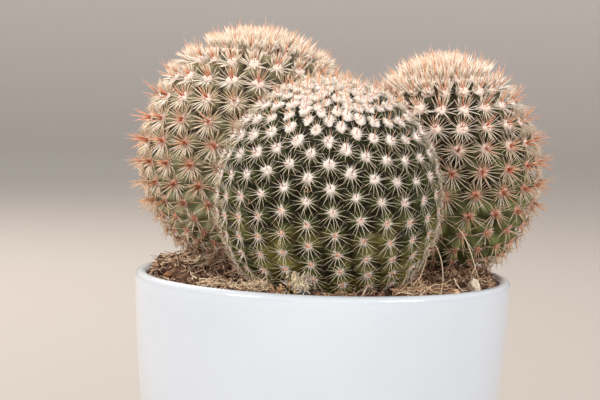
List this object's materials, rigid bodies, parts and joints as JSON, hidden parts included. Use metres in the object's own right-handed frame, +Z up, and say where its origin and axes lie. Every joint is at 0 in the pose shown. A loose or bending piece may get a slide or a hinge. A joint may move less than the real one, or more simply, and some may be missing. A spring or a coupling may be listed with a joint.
{
  "type": "potted mammillaria",
  "caption": "Potted mammillaria: three round, densely spined cactus heads standing in soil in a round glazed white ceramic pot.",
  "frame": {"origin": "centre of the pot's flat base, on the surface that it stands on", "axes": "+Z up, -Y the front, from which the largest head stands in the middle, and +X to the right"},
  "size_m": [0.1352, 0.1295, 0.1723],
  "materials": {
    "pot_glaze": "glossy white glaze",
    "soil": "loose dry peat",
    "cactus_front": "green skin under white spines",
    "cactus_left": "green skin under straw and red-brown spines",
    "cactus_right": "green skin under straw and red-brown spines",
    "pebble": "matte",
    "bark": "rough",
    "dried_flower": "matte"
  },
  "bodies": {
    "root": {"pot": "pot_glaze", "soil": "soil", "cactus_front": "cactus_front", "cactus_left": "cactus_left", "cactus_right": "cactus_right", "pebble_cream": "pebble", "pebble_tan": "pebble", "bark_chip_1": "bark", "bark_chip_2": "bark", "bark_chip_3": "bark", "bark_chip_4": "bark", "bark_chip_5": "bark", "dried_flower": "dried_flower"}
  },
  "joints": []
}
